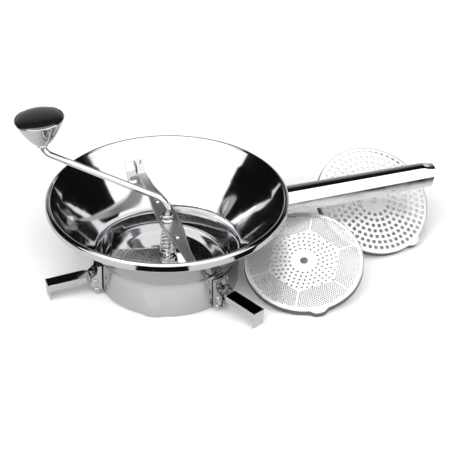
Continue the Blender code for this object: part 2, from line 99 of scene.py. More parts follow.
# Discs
LEDGE_Z = corners("seat_ring")[1].z
DISC_Z = corners("disc_medium")[1].z
DISC_R, DISC_T, SKIRT_H, NOSE_D, HUB_HOLE_R = 59.5, 0.8, 8.0, 3.6, 4.0
FILL_R = 57.0  # the perforated, flat part of a disc
SPARE_FINE = ((124.0, -55.2, 30.4), 21.5, -109.6, -75.0)  # middle, tilt, facing, turn
SPARE_COARSE = ((222.6, 12.9, 41.1), 35.0, -78.8, -66.0)

# Handle
HANDLE_TOP = corners("handle")[1].z
HANDLE_END = corners("handle")[1].x
HANDLE_T = 1.2

# Legs
LEG_AT = (58.5, 178.5, 298.5)
LEG_DROOP, LEG_LEN, LEG_W, LEG_H, LEG_T = 5.0, 46.0, 14.6, 6.4, 1.0
PIVOT_Z = JOINTS["leg_fold_1"]["pos_m"][2] / MM
PIVOT_R = math.hypot(*JOINTS["leg_fold_1"]["pos_m"][:2]) / MM
STOP_R, STOP_Z = 75.6, 5.6
EAR_Y, EAR_T = 7.4, 1.2

# Crossbar
BAR_T = 1.5
BAR_Z = corners("crossbar_doubler")[1].z + GAP + BAR_T
BAR_END, BAR_MID_W, BAR_END_W = 91.0, 19.0, 9.0
TAB = (4.0, 12.0, 6.5)
BUSH_R, RIVET_Y = 5.7, 34.0

# Crank and knob
ROD_R = 3.3
BORE_R = 3.7  # of what sits on the shaft
BEND = [v / MM for v in JOINTS["knob_spin"]["pos_m"]]
CRANK_AT = math.degrees(math.atan2(BEND[1], BEND[0]))
CRANK_R, CRANK_Z0, CRANK_Z1 = math.hypot(BEND[0], BEND[1]), 92.0, BEND[2]
KNOB_LEAN = math.degrees(math.acos(JOINTS["knob_spin"]["axis"][2]))
KNOB_R, KNOB_DEPTH, CAP_H, STEM = 25.0, 31.0, 4.4, 29.0

# Blade
HUB_TOP = corners("blade_hub")[1].z
BLADE_R, BLADE_T, BLADE_SWEEP, BLADE_RISE, BLADE_FROM = 60.0, 1.2, 205.0, 17.0, -40.0


# ---------------------------------------------------------------- mesh helpers
def skin(rings, closed_path=False, caps=True):
    """Joins equal rings of points with quads, and closes the two ends."""
    bm = bmesh.new()
    rows = [[bm.verts.new(p) for p in ring] for ring in rings]
    count = len(rows[0])
    pairs = list(zip(rows, rows[1:]))
    if closed_path:
        pairs.append((rows[-1], rows[0]))
    for a, b in pairs:
        for i in range(count):
            j = (i + 1) % count
            bm.faces.new((a[i], a[j], b[j], b[i]))
    if caps and not closed_path:
        bm.faces.new(rows[0])
        bm.faces.new(list(reversed(rows[-1])))
    return bm


def prism(outline, lo, hi, holes=()):
    """A flat plate from an outline and its holes in xy, between two heights."""
    loops = [list(outline), *[list(h) for h in holes]]
    flat = [(x, y) for loop in loops for x, y in loop]
    tris = tessellate_polygon([[Vector((x, y, 0.0)) for x, y in loop] for loop in loops])
    bm = bmesh.new()
    low = [bm.verts.new((x, y, lo)) for x, y in flat]
    top = [bm.verts.new((x, y, hi)) for x, y in flat]
    for a, b, c in tris:
        bm.faces.new((low[a], low[b], low[c]))
        bm.faces.new((top[c], top[b], top[a]))
    start = 0
    for loop in loops:
        n = len(loop)
        for i in range(n):
            a, b = start + i, start + (i + 1) % n
            bm.faces.new((low[a], low[b], top[b], top[a]))
        start += n
    bmesh.ops.dissolve_limit(bm, angle_limit=0.01, verts=bm.verts, edges=bm.edges)
    return bm


def circle(radius, n, cx=0.0, cy=0.0, turn=0.0):
    step = 2 * math.pi / n
    return [(cx + radius * math.cos(step * i + turn), cy + radius * math.sin(step * i + turn))
            for i in range(n)]


def revolve(profile, n):
    """A closed (r, z) profile turned about Z."""
    turns = [(math.cos(2 * math.pi * i / n), math.sin(2 * math.pi * i / n)) for i in range(n)]
    return skin([[(r * c, r * s, z) for r, z in profile] for c, s in turns], closed_path=True)


def lathe(profile, n):
    """A profile whose two ends lie on the axis."""
    bm = bmesh.new()
    first, last = bm.verts.new((0, 0, profile[0][1])), bm.verts.new((0, 0, profile[-1][1]))
    rows = [[bm.verts.new((x, y, z)) for x, y in circle(r, n)] for r, z in profile[1:-1]]
    for i in range(n):
        j = (i + 1) % n
        bm.faces.new((first, rows[0][j], rows[0][i]))
        bm.faces.new((last, rows[-1][i], rows[-1][j]))
        for a, b in zip(rows, rows[1:]):
            bm.faces.new((a[i], a[j], b[j], b[i]))
    return bm


def tube(path, radius, sides, nose=0.0):
    """A round rod along a path of points, with ends rounded by nose."""
    pts = [Vector(p) for p in path]
    side = (pts[1] - pts[0]).orthogonal().normalized()
    sections = []
    for i, p in enumerate(pts):
        along = (pts[min(i + 1, len(pts) - 1)] - pts[max(i - 1, 0)]).normalized()
        side = (side - along * side.dot(along)).normalized()
        sections.append((p, along, side.copy(), radius))
    if nose:
        for end, way in ((0, 1), (-1, -1)):
            p, along, s, r = sections[end]
            turned_in = [(p + along * way * nose * (1 - math.cos(k)), along, s, r - nose * (1 - math.sin(k)))
                         for k in (0.0, 0.52, 1.05, 1.57)]
            if end == 0:
                sections = turned_in + sections[1:]
            else:
                sections = sections[:-1] + list(reversed(turned_in))
    around = [2 * math.pi * k / sides for k in range(sides)]
    rings = []
    for p, along, s, r in sections:
        up = along.cross(s)
        rings.append([p + r * (math.cos(a) * s + math.sin(a) * up) for a in around])
    return skin(rings)


def corner(a, b, c, radius, steps):
    """Points of an arc that rounds the corner b between a and c."""
    a, b, c = Vector(a), Vector(b), Vector(c)
    u, v = (a - b).normalized(), (c - b).normalized()
    half = u.angle(v) / 2
    reach = radius / math.tan(half)
    centre = b + (u + v).normalized() * (radius / math.sin(half))
    p, q = b + u * reach - centre, b + v * reach - centre
    total = p.angle(q)
    axis = p.cross(q).normalized()
    return [centre + Matrix.Rotation(total * k / steps, 3, axis) @ p for k in range(steps + 1)]


def rounded(points, radii, steps=6, closed=False):
    """A flat path or outline with its corners rounded; radii may be one number or one for each corner."""
    n = len(points)
    out = []
    for i, b in enumerate(points):
        radius = radii if isinstance(radii, (int, float)) else radii[i]
        if radius <= 0 or (not closed and i in (0, n - 1)):
            out.append(tuple(b))
            continue
        a, c = points[i - 1], points[(i + 1) % n]
        arc = corner((*a, 0), (*b, 0), (*c, 0), radius, steps)
        out += [(p.x, p.y) for p in arc]
    return out


def divide(path, longest):
    """Adds points so that no stretch of a flat path is longer than longest."""
    out = [path[0]]
    for a, b in zip(path, path[1:]):
        n = max(1, math.ceil(math.dist(a, b) / longest))
        out += [(a[0] + (b[0] - a[0]) * k / n, a[1] + (b[1] - a[1]) * k / n) for k in range(1, n + 1)]
    return out


def offset_path(points, distance):
    """Shifts an open path to its left by a distance."""
    out = []
    for i, p in enumerate(points):
        a, b = points[max(i - 1, 0)], points[min(i + 1, len(points) - 1)]
        length = math.dist(a, b)
        tx, ty = (b[0] - a[0]) / length, (b[1] - a[1]) / length
        out.append((p[0] - ty * distance, p[1] + tx * distance))
    return out


def smooth(t):
    t = max(0.0, min(1.0, t))
    return t * t * (3 - 2 * t)


def near(angle, centres, inner, outer):
    """1 within inner degrees of a centre, falling to 0 at outer."""
    off = min(abs((math.degrees(angle) - c + 180) % 360 - 180) for c in centres)
    return smooth((outer - off) / (outer - inner))


def cone_out(z):
    return CONE_R0 + (z - CONE_Z0) * CONE_K


def cone_in(z):
    return cone_out(z) - WALL * math.hypot(1, CONE_K)


def turned(degrees):
    return Matrix.Rotation(math.radians(degrees), 4, "Z")


def shifted(x, y, z):
    return Matrix.Translation((x, y, z))


def to_mesh(name, bm):
    bmesh.ops.remove_doubles(bm, verts=bm.verts, dist=1e-4)
    bmesh.ops.recalc_face_normals(bm, faces=bm.faces)
    if bm.calc_volume(signed=True) < 0:
        bmesh.ops.reverse_faces(bm, faces=bm.faces)
    bm.transform(Matrix.Scale(MM, 4))
    mesh = bpy.data.meshes.new(name)
    bm.to_mesh(mesh)
    bm.free()
    return mesh


def fused(name, first, others=(), cuts=()):
    """One mesh from a shape, the shapes joined to it and the shapes cut out of it."""
    scene = bpy.context.scene.collection
    base = bpy.data.objects.new(name, to_mesh(name, first))
    scene.objects.link(base)
    helpers = []
    for operation, shapes in (("UNION", others), ("DIFFERENCE", cuts)):
        for bm in shapes:
            helper = bpy.data.objects.new(name + "_helper", to_mesh(name + "_helper", bm))
            scene.objects.link(helper)
            helpers.append(helper)
            boolean = base.modifiers.new(operation.title(), "BOOLEAN")
            boolean.operation, boolean.solver, boolean.object = operation, "EXACT", helper
    bpy.context.view_layer.update()
    evaluated = base.evaluated_get(bpy.context.evaluated_depsgraph_get())
    mesh = bpy.data.meshes.new_from_object(evaluated)
    for obj in (base, *helpers):
        bpy.data.objects.remove(obj, do_unlink=True)
    return mesh


def piece(node, shape, material, place=None, bevel=0.0, sharp=38.0, back=None):
    """Makes the visible piece that stands for a CAD node and rides on the node's body. back is a second
    material for the faces that the shape marks with material 1; on the discs it is painted shade."""
    name = f"{node}_finished"
    mesh = to_mesh(name, shape) if isinstance(shape, bmesh.types.BMesh) else shape
    mesh.shade_smooth()
    mesh.set_sharp_from_angle(angle=math.radians(sharp))
    if len(mesh.materials) > 0:
        mesh.materials.clear()
    mesh.materials.append(material)
    if back is not None:
        mesh.materials.append(back)
    obj = bpy.data.objects.new(name, mesh)
    bpy.context.scene.collection.objects.link(obj)
    if place is not None:
        mesh.transform(place.to_3x3().to_4x4())
        obj.location = place.translation * MM
    if bevel:
        edge = obj.modifiers.new("Bevel", "BEVEL")
        edge.width, edge.segments, edge.limit_method = bevel * MM, 3, "ANGLE"
        edge.angle_limit = math.radians(32)
        edge.use_clamp_overlap = True
        mesh.set_sharp_from_angle(angle=math.radians(180))
        weight = obj.modifiers.new("WeightedNormal", "WEIGHTED_NORMAL")
        weight.keep_sharp = True
    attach(obj, BODY_OF[node])
    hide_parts(node)
    return obj


# ---------------------------------------------------------------- materials
class Nodes:
    """A short way to write a node tree."""

    def __init__(self, tree):
        self.tree = tree

    def new(self, kind, **values):
        node = self.tree.nodes.new(kind)
        for key, value in values.items():
            setattr(node, key, value)
        return node

    def link(self, a, b):
        self.tree.links.new(a, b)

    def math(self, operation, a, b=0.0, c=0.0):
        node = self.new("ShaderNodeMath", operation=operation)
        for i, value in enumerate((a, b, c)):
            if isinstance(value, (int, float)):
                node.inputs[i].default_value = value
            else:
                self.link(value, node.inputs[i])
        return node.outputs[0]

    def spread(self, value, lo, hi, to_lo, to_hi, kind="SMOOTHSTEP"):
        """Maps a value from one range to another."""
        node = self.new("ShaderNodeMapRange", interpolation_type=kind)
        self.link(value, node.inputs["Value"])
        for key, number in (("From Min", lo), ("From Max", hi), ("To Min", to_lo), ("To Max", to_hi)):
            node.inputs[key].default_value = number
        return node.outputs["Result"]

    def noise(self, vector, scale, detail=3.0, rough=0.55):
        node = self.new("ShaderNodeTexNoise")
        self.link(vector, node.inputs["Vector"])
        node.inputs["Scale"].default_value = scale
        node.inputs["Detail"].default_value = detail
        node.inputs["Roughness"].default_value = rough
        return node.outputs["Fac"]

    def stretched(self, vector, scale):
        node = self.new("ShaderNodeMapping")
        self.link(vector, node.inputs["Vector"])
        node.inputs["Scale"].default_value = scale
        return node.outputs["Vector"]


def blank(name):
    mat = bpy.data.materials.new(name)
    mat.use_nodes = True
    tree = Nodes(mat.node_tree)
    return mat, tree, mat.node_tree.nodes["Principled BSDF"]


def round_coordinates(tree, position):
    """Coordinates that run along the circles round Z: radius, a slow turn and height."""
    split = tree.new("ShaderNodeSeparateXYZ")
    tree.link(position, split.inputs[0])
    x, y, z = split.outputs
    radius = tree.math("SQRT", tree.math("ADD", tree.math("MULTIPLY", x, x), tree.math("MULTIPLY", y, y)))
    turn = tree.math("MULTIPLY", tree.math("ABSOLUTE", tree.math("ARCTAN2", y, x)), 0.004)
    join = tree.new("ShaderNodeCombineXYZ")
    for output, slot in zip((radius, turn, z), join.inputs):
        tree.link(output, slot)
    return join.outputs[0]


def steel(name, tint=(0.64, 0.64, 0.65), rough=(0.035, 0.085), way=None, wave=0.06, marks=0.03, sheen=1.0):
    """Mirror-polished sheet: fine polishing lines, a few dull smears, small scratches and a slight ripple.
    way is the stretch of the polishing lines, or None where they run round the object's axis; sheen is how
    mirror-like the metal is, less where it is pickled matt."""
    mat, tree, shader = blank(name)
    position = tree.new("ShaderNodeTexCoord").outputs["Object"]
    lines = round_coordinates(tree, position) if way is None else tree.stretched(position, way)
    polish = tree.noise(lines, 2600.0, 2.0, 0.6)
    cloud = tree.noise(position, 24.0, 5.0, 0.62)
    smear = tree.spread(tree.noise(position, 9.0, 3.0), 0.56, 0.72, 0.0, 1.0)
    scratch_field = tree.noise(tree.stretched(position, (0.12, 1.0, 0.5)), 900.0, 1.0, 0.4)
    scratch = tree.spread(scratch_field, 0.70, 0.76, 0.0, 1.0)

    base = tree.spread(cloud, 0.3, 0.7, rough[0], rough[1])
    duller = tree.math("MULTIPLY_ADD", smear, 0.05, base)
    lined = tree.math("MULTIPLY_ADD", polish, marks, duller)
    tree.link(tree.math("MULTIPLY_ADD", scratch, 0.10, lined), shader.inputs["Roughness"])

    colour = tree.new("ShaderNodeMix", data_type="RGBA")
    patchy = tree.math("MULTIPLY_ADD", smear, 0.35, tree.math("MULTIPLY", cloud, 0.6))
    tree.link(patchy, colour.inputs["Factor"])
    colour.inputs["A"].default_value = (*[c * 1.04 for c in tint], 1.0)
    colour.inputs["B"].default_value = (*[c * 0.93 for c in tint], 1.0)
    tree.link(colour.outputs["Result"], shader.inputs["Base Color"])
    shader.inputs["Metallic"].default_value = sheen

    ripple = tree.new("ShaderNodeBump")
    ripple.inputs["Strength"].default_value = wave
    ripple.inputs["Distance"].default_value = 0.002
    tree.link(tree.noise(position, 38.0, 2.0), ripple.inputs["Height"])
    grain = tree.new("ShaderNodeBump")
    grain.inputs["Strength"].default_value = 0.02
    grain.inputs["Distance"].default_value = 0.0002
    tree.link(tree.math("ADD", polish, scratch), grain.inputs["Height"])
    tree.link(ripple.outputs["Normal"], grain.inputs["Normal"])
    tree.link(grain.outputs["Normal"], shader.inputs["Normal"])
    return mat


def gloss_plastic(name):
    """Black moulded plastic, buffed to a gloss, with fine hairlines and a little dust haze."""
    mat, tree, shader = blank(name)
    position = tree.new("ShaderNodeTexCoord").outputs["Object"]
    haze = tree.noise(position, 60.0, 5.0, 0.65)
    hair_field = tree.noise(tree.stretched(position, (1.0, 0.08, 1.0)), 1400.0, 1.0, 0.4)
    hair = tree.spread(hair_field, 0.66, 0.74, 0.0, 1.0)
    speck = tree.spread(tree.noise(position, 2400.0, 1.0), 0.72, 0.80, 0.0, 1.0)
    base = tree.spread(haze, 0.3, 0.7, 0.05, 0.10)
    tree.link(tree.math("MULTIPLY_ADD", hair, 0.10, base), shader.inputs["Roughness"])
    colour = tree.new("ShaderNodeMix", data_type="RGBA")
    dusty = tree.math("MULTIPLY_ADD", speck, 0.3, tree.math("MULTIPLY", haze, 0.4))
    tree.link(dusty, colour.inputs["Factor"])
    colour.inputs["A"].default_value = (0.006, 0.006, 0.007, 1.0)
    colour.inputs["B"].default_value = (0.030, 0.030, 0.032, 1.0)
    tree.link(colour.outputs["Result"], shader.inputs["Base Color"])
    shader.inputs["IOR"].default_value = 1.95
    bump = tree.new("ShaderNodeBump")
    bump.inputs["Strength"].default_value = 0.03
    bump.inputs["Distance"].default_value = 0.0003
    tree.link(tree.math("ADD", haze, hair), bump.inputs["Height"])
    tree.link(bump.outputs["Normal"], shader.inputs["Normal"])
    return mat


def floor_material():
    """Matt white board; in glossy rays its colour is painted darker grey, a painted reflection of shaded
    floor in the steel.
    """
    mat, tree, shader = blank("studio_board")
    position = tree.new("ShaderNodeTexCoord").outputs["Object"]
    tooth = tree.noise(position, 700.0, 4.0)
    patch = tree.noise(position, 3.0, 3.0)
    colour = tree.new("ShaderNodeMix", data_type="RGBA")
    tree.link(patch, colour.inputs["Factor"])
    colour.inputs["A"].default_value = (0.86, 0.86, 0.86, 1.0)
    colour.inputs["B"].default_value = (0.90, 0.90, 0.90, 1.0)
    # Painted reflection: glossy rays see the board as darker grey (0.60), standing in for the shade on the
    # floor that the steel mirrors.
    mirrored = tree.new("ShaderNodeMix", data_type="RGBA")
    tree.link(tree.new("ShaderNodeLightPath").outputs["Is Glossy Ray"], mirrored.inputs["Factor"])
    tree.link(colour.outputs["Result"], mirrored.inputs["A"])
    mirrored.inputs["B"].default_value = (0.60, 0.60, 0.60, 1.0)
    tree.link(mirrored.outputs["Result"], shader.inputs["Base Color"])
    tree.link(tree.spread(tooth, 0.3, 0.7, 0.82, 0.95), shader.inputs["Roughness"])
    shader.inputs["Specular IOR Level"].default_value = 0.1
    return mat


SHEET = steel("polished_sheet")
TURNED = steel("turned_steel", rough=(0.04, 0.09), wave=0.015)
PRESSED = steel("pressed_steel", way=(0.05, 1.0, 1.0), wave=0.035)
BRIGHT = steel("bright_pressed_steel", tint=(0.82, 0.82, 0.825), way=(0.05, 1.0, 1.0), wave=0.035)
PLATE = steel("perforated_plate", tint=(0.80, 0.80, 0.805), rough=(0.22, 0.31), wave=0.02, sheen=0.68)
# Painted shade: a dark steel for the discs' skirts, undersides and hole walls, standing in for the shade
# under the plates so that the holes read dark.
PUNCHED = steel("painted_shade_steel", tint=(0.17, 0.17, 0.175), rough=(0.36, 0.46), wave=0.02)
SATIN = steel("brushed_bar", tint=(0.56, 0.56, 0.57), rough=(0.27, 0.34), way=(1.0, 0.04, 1.0),
              wave=0.02, marks=0.06)
ROD = steel("drawn_rod", way=(1.0, 1.0, 0.05), wave=0.01, rough=(0.04, 0.09))
WIRE = steel("spring_wire", tint=(0.56, 0.56, 0.57), rough=(0.12, 0.22), way=(1.0, 1.0, 1.0),
             wave=0.0, marks=0.06)
BLADE = steel("blade_steel", tint=(0.62, 0.62, 0.63), rough=(0.05, 0.12), wave=0.04)
BLACK = gloss_plastic("black_gloss_plastic")


# ---------------------------------------------------------------- bowl
def make_bowl():
    """One spun sheet: lip, toe, cylinder with three pressed channels, cone, and a bead rolled outwards."""
    meet = CONE_Z0 - (CONE_R0 - FOOT_R) / CONE_K
    low, top = BEAD_Z - BEAD_A - 0.3, BEAD_Z + BEAD_A
    outline = [(LIP_R, 0.0), (FOOT_R, 0.0), (FOOT_R, meet), (cone_out(low), low)]
    outer = divide(rounded(outline, (0, TOE_R, BEND_R, 0), 12), 3.0)
    edge = BEAD_R + BEAD_A
    bead = [(cone_out(low) + 0.6, low), (edge, low), (edge, top), (edge - 4.5, top), (cone_in(84), 84)]
    bead = rounded(bead, (0, 1.5, 3.0, 2.4, 0), 10)
    inner = [p for p in offset_path(outer, WALL) if p[1] < 82.0]
    lip = [(LIP_R - 0.25, WALL * 0.5)]
    profile = outer + bead + list(reversed(inner)) + lip
    rings = []
    segments = 300
    for i in range(segments):
        a = 2 * math.pi * i / segments
        weight = near(a, CHANNEL_AT, 4.6, 8.6)
        ring = []
        for r, z in profile:
            push = 0.0
            if z < 60 and weight:
                push = CHANNEL_D * weight * smooth((CHANNEL_TOP - z) / 22.0) * smooth((r - 62.5) / 5.0)
            ring.append(((r + push) * math.cos(a), (r + push) * math.sin(a), z))
        rings.append(ring)
    piece("bowl", skin(rings, closed_path=True), SHEET, sharp=50)


def make_seat_ring():
    outside = FOOT_R - WALL - GAP
    low = WALL + GAP
    under = LEDGE_Z - 1.0
    inside = 57.6
    profile = [(inside, low), (inside + 1.0, low), (inside + 1.0, under),
               (outside, under), (outside, LEDGE_Z), (inside, LEDGE_Z)]
    piece("seat_ring", revolve(rounded(profile, 0.3, 3, closed=True), 160), TURNED)


# ---------------------------------------------------------------- perforated discs
def fill(loops):
    """Triangles between an outer round loop and the convex holes inside it."""
    points = [Vector(p) for loop in loops for p in loop]
    owner = [k for k, loop in enumerate(loops) for _ in loop]
    edges, start = [], 0
    for loop in loops:
        n = len(loop)
        edges += [(start + i, start + (i + 1) % n) for i in range(n)]
        start += n
    _, _, faces, origin, _, _ = delaunay_2d_cdt(points, edges, [], 0, 1e-6)
    tris = [[origin[v][0] for v in face] for face in faces]
    return [t for t in tris if owner[t[0]] == 0 or len({owner[v] for v in t}) > 1]


def grown(loop, by):
    """A convex loop pushed outwards from its middle."""
    cx = sum(x for x, _ in loop) / len(loop)
    cy = sum(y for _, y in loop) / len(loop)
    out = []
    for x, y in loop:
        d = math.hypot(x - cx, y - cy)
        out.append((cx + (x - cx) * (1 + by / d), cy + (y - cy) * (1 + by / d)))
    return out


def disc(holes, dish):
    """A perforated plate with a rounded edge, a skirt with a small hem and one nose; its top is z = 0. dish
    is how far the upper edge of each hole is rolled in. The skirt, the underside and the holes' walls get
    material 1, which holds painted shade: a darker steel under the plate."""
    count = 240
    angles = [2 * math.pi * i / count for i in range(count)]

    def ring(r, z, nose=NOSE_D):
        out = []
        for a in angles:
            rr = r + nose * near(a, NOSE_AT, 2.5, 10.5)
            out.append((rr * math.cos(a), rr * math.sin(a), z))
        return out

    edge, edge_in = 1.6, 0.8
    arc = [(DISC_R - edge + edge * math.sin(k), -edge + edge * math.cos(k))
           for k in (0.0, 0.26, 0.52, 0.79, 1.05, 1.31, 1.57)]
    inside = DISC_R - DISC_T
    arc_in = [(inside - edge_in + edge_in * math.sin(k), -DISC_T - edge_in + edge_in * math.cos(k))
              for k in (1.57, 0.79, 0.0)]
    rings = [ring(FILL_R, 0.0, 0.0)]
    rings += [ring(r, z) for r, z in arc]
    rings += [ring(DISC_R, -SKIRT_H + 0.3), ring(DISC_R - 0.25, -SKIRT_H), ring(inside + 0.2, -SKIRT_H),
              ring(inside, -SKIRT_H + 0.25)]
    rings += [ring(r, z) for r, z in arc_in]
    rings.append(ring(FILL_R, -DISC_T, 0.0))
    bm = skin(rings, caps=False)
    # Faces below the rounded edge, the skirt and its hem, get material 1: painted shade.
    for face in bm.faces:
        if max(v.co.z for v in face.verts) < 0.1 - edge:
            face.material_index = 1

    shapes = [circle(HUB_HOLE_R, 32), *holes]
    border = [(p[0], p[1]) for p in rings[0]]
    wide = [border] + [grown(h, dish) for h in shapes]
    tight = [border] + shapes
    top = [bm.verts.new((x, y, 0.0)) for loop in wide for x, y in loop]
    low = [bm.verts.new((x, y, -DISC_T)) for loop in tight for x, y in loop]
    for a, b, c in fill(wide):
        bm.faces.new((top[a], top[b], top[c]))
    # The underside and the lower walls of the holes get material 1 too: painted shade.
    for a, b, c in fill(tight):
        bm.faces.new((low[c], low[b], low[a])).material_index = 1
    start = len(border)
    for loop in shapes:
        n = len(loop)
        middle = [bm.verts.new((x, y, -dish)) for x, y in loop]
        for i in range(n):
            j = (i + 1) % n
            bm.faces.new((top[start + j], top[start + i], middle[i], middle[j]))
            bm.faces.new((middle[j], middle[i], low[start + i], low[start + j])).material_index = 1
        start += n
    return bm


def ring_of_holes(radius, pitch, hole, turn=0.0):
    """Places hole(x, y, angle) round a ring, about pitch apart."""
    count = round(2 * math.pi * radius / pitch)
    out = []
    for k in range(count):
        a = 2 * math.pi * (k + turn) / count
        out.append(hole(radius * math.cos(a), radius * math.sin(a), a))
    return out


def square_hole(half):
    """A rounded square hole that faces the disc's middle."""
    corners_at = [(-half, -half), (half, -half), (half, half), (-half, half)]
    outline = rounded(corners_at, half * 0.5, 3, closed=True)

    def place(x, y, a):
        c, s = math.cos(a), math.sin(a)
        return [(x + u * c - v * s, y + u * s + v * c) for u, v in outline]

    return place


def round_hole(radius, sides):
    return lambda x, y, a: circle(radius, sides, x, y, a)


def coarse_holes():
    out = []
    for k in range(7):
        out += ring_of_holes(16.8 + 6.1 * k, 6.25, square_hole(1.75), 0.5 * (k % 2))
    return out


def medium_holes():
    out = []
    for k in range(10):
        out += ring_of_holes(13.5 + 4.4 * k, 4.6, round_hole(0.95, 10), 0.5 * (k % 2))
    return out


def fine_holes():
    """Six fields of tiny holes between six plain spokes, round a ring of sparse larger holes."""
    out = []
    field_from, field_to, pitch, spoke, first = 34.0, 55.6, 2.2, 1.6, 7.0
    for k in range(6):
        for x, y in ring_of_holes(14.6 + 4.4 * k, 5.2, lambda x, y, a: (x, y), 0.5 * (k % 2)):
            off = (math.degrees(math.atan2(y, x)) - first + 30.0) % 60.0 - 30.0
            if math.hypot(x, y) * math.cos(math.radians(off)) < field_from - 2.0:
                out.append(circle(1.1, 12, x, y))
    for sector in range(6):
        a = math.radians(60 * sector + first)
        c, s = math.cos(a), math.sin(a)
        row = 0
        u = field_from
        while u < field_to:
            for j in range(-15, 16):
                v = (j + 0.5 * (row % 2)) * pitch
                r = math.hypot(u, v)
                clear = r * math.sin(math.radians(30) - abs(math.atan2(v, u)))
                if r < field_to and clear > spoke:
                    out.append(circle(0.78, 8, u * c - v * s, u * s + v * c, a))
            row += 1
            u += pitch * 0.866
    return out


def disc_pose(centre, tilt, facing, spin):
    """Places a spare disc: the middle of its plate, its tilt, the way it faces, and its turn, in degrees."""
    t, f = math.radians(tilt), math.radians(facing)
    z = Vector((math.sin(t) * math.cos(f), math.sin(t) * math.sin(f), math.cos(t)))
    x = Vector((0, 0, 1)).cross(z).normalized()
    lie = Matrix((x, z.cross(x), z)).transposed().to_4x4()
    return shifted(*centre) @ lie @ turned(spin)


def make_discs():
    for node, holes, dish, place in (
            ("disc_medium", medium_holes(), 0.15, shifted(0, 0, DISC_Z)),
            ("disc_fine_spare", fine_holes(), 0.08, disc_pose(*SPARE_FINE)),
            ("disc_coarse_spare", coarse_holes(), 0.22, disc_pose(*SPARE_COARSE))):
        # back gives the skirts, undersides and hole walls the dark painted-shade steel.
        piece(node, disc(holes, dish), PLATE, place=place, sharp=25, back=PUNCHED)


# ---------------------------------------------------------------- handle
def handle_section(f):
    """Outside of the pressed channel at a share f of its length, from one lower edge to the other."""
    h, w, c = 22.0 - 2.5 * f, 12.6 - 1.8 * f, 7.6 - 1.2 * f
    crown = [(c * t / 6, -0.7 * (t / 6) ** 2) for t in range(6)]
    side = [(c * 5 / 6, -0.49), (c + 0.15, -1.0), (w - 0.7, -h * 0.5), (w, -h)]
    side = rounded(side, (0, 1.3, 1.6, 0), 5)
    half = crown[1:] + side[1:]
    return [(-y, z) for y, z in reversed(half)] + [(0.0, 0.0)] + half


def make_handle():
    count = 48
    rings = []
    for k in range(count + 1):
        f = k / count
        out = handle_section(f)
        inn = offset_path(out, -HANDLE_T)
        inn[0] = (inn[0][0], out[0][1])
        inn[-1] = (inn[-1][0], out[-1][1])
        ring = []
        for y, z in out + list(reversed(inn)):
            zz = HANDLE_TOP + z
            root = math.sqrt(max(0.0, (cone_out(zz) + WELD_GAP) ** 2 - y * y))
            end = HANDLE_END + 0.28 * z
            drop = 2.2 * smooth((f - 0.93) / 0.07) * smooth((z + 6.0) / 6.0)
            ring.append((root + (end - root) * f, y, zz - drop))
        rings.append(ring)
    hole = lathe([(0.0, -6), (3.2, -6), (3.2, 6), (0.0, 6)], 48)
    hole.transform(shifted(HANDLE_END - 8.0, 0, HANDLE_TOP - 1))
    piece("handle", fused("handle_finished", skin(rings), cuts=[hole]), BRIGHT, bevel=0.3)


def make_handle_brace():
    rings = []
    section = rounded([(-8.6, -20.5), (8.6, -20.5), (8.6, -19.3), (-8.6, -19.3)], 0.3, 2, closed=True)
    for f in (0.0, 1.0):
        ring = []
        for y, z in section:
            zz = HANDLE_TOP + z
            root = math.sqrt((cone_out(zz + 1.2) + WELD_GAP) ** 2 - y * y)
            ring.append((root + 34.0 * f, y, zz))
        rings.append(ring)
    piece("handle_brace", skin(rings), PRESSED)


# ---------------------------------------------------------------- legs
TO_XZ = Matrix(((1, 0, 0, 0), (0, 0, 1, 0), (0, 1, 0, 0), (0, 0, 0, 1)))  # sends a plate's xy to xz
TO_YZ = Matrix(((0, 0, 1, 0), (1, 0, 0, 0), (0, 1, 0, 0), (0, 0, 0, 1)))  # sends a plate's xy to yz


def upright(outline, lo, hi, holes=(), turn=TO_XZ):
    bm = prism(outline, lo, hi, holes)
    bm.transform(turn)
    return bm


def make_bracket(node, place):
    """A pressed U bracket on the cylinder, drawn on +X: a back plate and two ears."""
    r0, t = FOOT_R + WELD_GAP, 1.2
    wide = EAR_Y + EAR_T
    back = prism([(r0, -wide), (r0 + t, -wide), (r0 + t, wide), (r0, wide)], 2.4, 33.0)
    side = [(r0 + 0.4, 32.6), (r0 + 3.6, 32.6), (r0 + 4.4, 25.0), (PIVOT_R + 4.0, 19.4),
            (PIVOT_R + 4.0, 13.0), (STOP_R + 3.3, 7.4), (STOP_R + 2.5, 3.2), (STOP_R, 2.1),
            (STOP_R - 2.5, 3.2), (r0 + 0.4, 7.4)]
    side = rounded(side, (0, 1.0, 2.0, 2.2, 2.2, 1.2, 1.0, 1.0, 1.0, 0), 4, closed=True)
    eyes = [circle(PIN_HOLE_R, 24, PIVOT_R, PIVOT_Z), circle(PIN_HOLE_R, 24, STOP_R, STOP_Z)]
    ears = [upright(side, y + 0.1, y + EAR_T - 0.1, eyes) for y in (EAR_Y, -wide)]
    piece(node, fused(f"{node}_finished", back, ears), PRESSED, place=place, bevel=0.22)


def pin_mesh(head):
    """A cross pin along Y with two domed heads."""
    half = EAR_Y + EAR_T + GAP
    dome = [(head * math.cos(k), 0.5 + 1.0 * math.sin(k)) for k in (0.0, 0.35, 0.7, 1.05, 1.3)]
    side = [(head - 0.15, 0.0), (head, 0.15), *dome]
    profile = [(0.0, half + 1.5)] + [(r, half + z) for r, z in reversed(side)] + [(1.5, half), (1.5, -half)]
    profile += [(r, -half - z) for r, z in side] + [(0.0, -half - 1.5)]
    bm = lathe(profile, 40)
    bm.transform(Matrix.Rotation(math.pi / 2, 4, "X"))
    return bm


